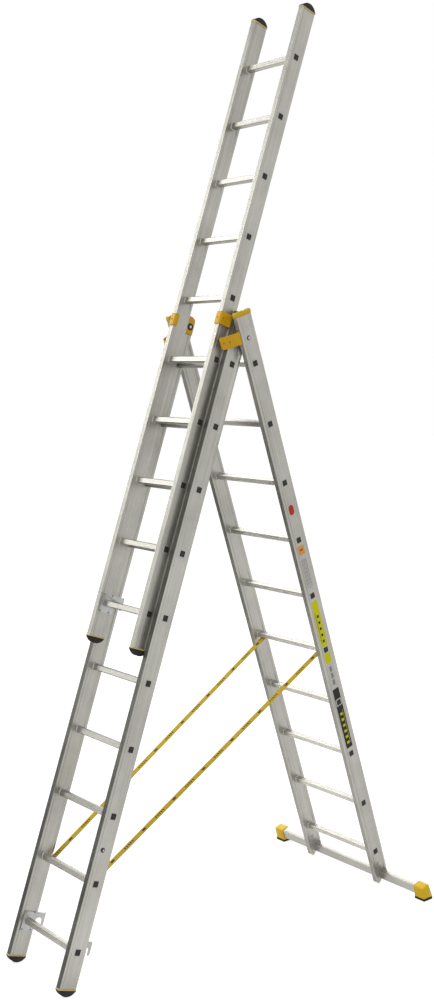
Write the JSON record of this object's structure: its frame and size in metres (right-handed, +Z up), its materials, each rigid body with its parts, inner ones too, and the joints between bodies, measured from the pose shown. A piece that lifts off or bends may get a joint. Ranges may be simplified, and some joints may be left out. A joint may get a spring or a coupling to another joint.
{
  "type": "extension ladder",
  "caption": "Aluminium combination ladder standing as an A-frame, its narrow top section run out above the hinge, with a stabiliser beam and spreader straps.",
  "frame": {"origin": "on the floor, at the centre of the ladder's footprint", "axes": "+Z up, +X across the ladder to its right seen from the front, -Y towards the front leg that carries the top section"},
  "size_m": [1.02, 1.9418, 4.1422],
  "materials": {
    "aluminium": "satin extrusion",
    "black_rubber": "matt moulded",
    "yellow_plastic": "semi-gloss moulded",
    "amber_steel": "powder coat",
    "zinc_steel": "zinc plated",
    "webbing": "woven tape",
    "label": "printed film, plain marks only"
  },
  "bodies": {
    "rear_section": {"rear_stile_left": "aluminium", "rear_stile_right": "aluminium", "rear_rungs": "aluminium", "rear_rung_plugs": "black_rubber", "rear_stile_caps": "yellow_plastic", "rear_bracket_left": "amber_steel", "rear_bracket_right": "amber_steel", "rear_bracket_bolts": "zinc_steel", "rear_bracket_rivets": "zinc_steel", "hinge_pins": "zinc_steel", "stabiliser_beam": "aluminium", "beam_caps": "yellow_plastic", "beam_soles": "black_rubber", "beam_bolts": "zinc_steel", "stile_labels": "label", "strap_screws_rear": "zinc_steel"},
    "middle_section": {"middle_stile_left": "aluminium", "middle_stile_right": "aluminium", "middle_rungs": "aluminium", "middle_rung_plugs": "black_rubber", "middle_foot_bands": "yellow_plastic", "middle_feet": "black_rubber", "middle_stile_caps": "black_rubber", "hinge_ears": "zinc_steel", "hinge_ear_rivets": "zinc_steel", "guide_bracket_left": "amber_steel", "guide_bracket_right": "amber_steel", "guide_bracket_washers": "black_rubber", "guide_bracket_bolts": "zinc_steel", "guide_bracket_rivets": "zinc_steel", "middle_hook_left": "zinc_steel", "middle_hook_right": "zinc_steel", "middle_hook_rivets": "zinc_steel", "middle_side_screws": "zinc_steel", "strap_left": "webbing", "strap_right": "webbing", "strap_screws_front": "zinc_steel"},
    "top_section": {"top_stile_left": "aluminium", "top_stile_right": "aluminium", "top_rungs": "aluminium", "top_rung_plugs": "black_rubber", "top_end_bands": "yellow_plastic", "top_end_caps": "black_rubber", "top_hook_left": "zinc_steel", "top_hook_right": "zinc_steel", "top_hook_rivets": "zinc_steel"}
  },
  "joints": [
    {"name": "leg_spread", "type": "hinge", "parent": "rear_section", "child": "middle_section", "pos_m": [0, 0.01803, 2.60822], "axis": [1, 0, 0], "range_deg": [0, 36.8], "deforming": ["strap_left", "strap_right"]},
    {"name": "top_slide", "type": "slide", "parent": "middle_section", "child": "top_section", "axis": [0, 0.3256, 0.9455], "range_m": [-1.4, 0.28]}
  ]
}
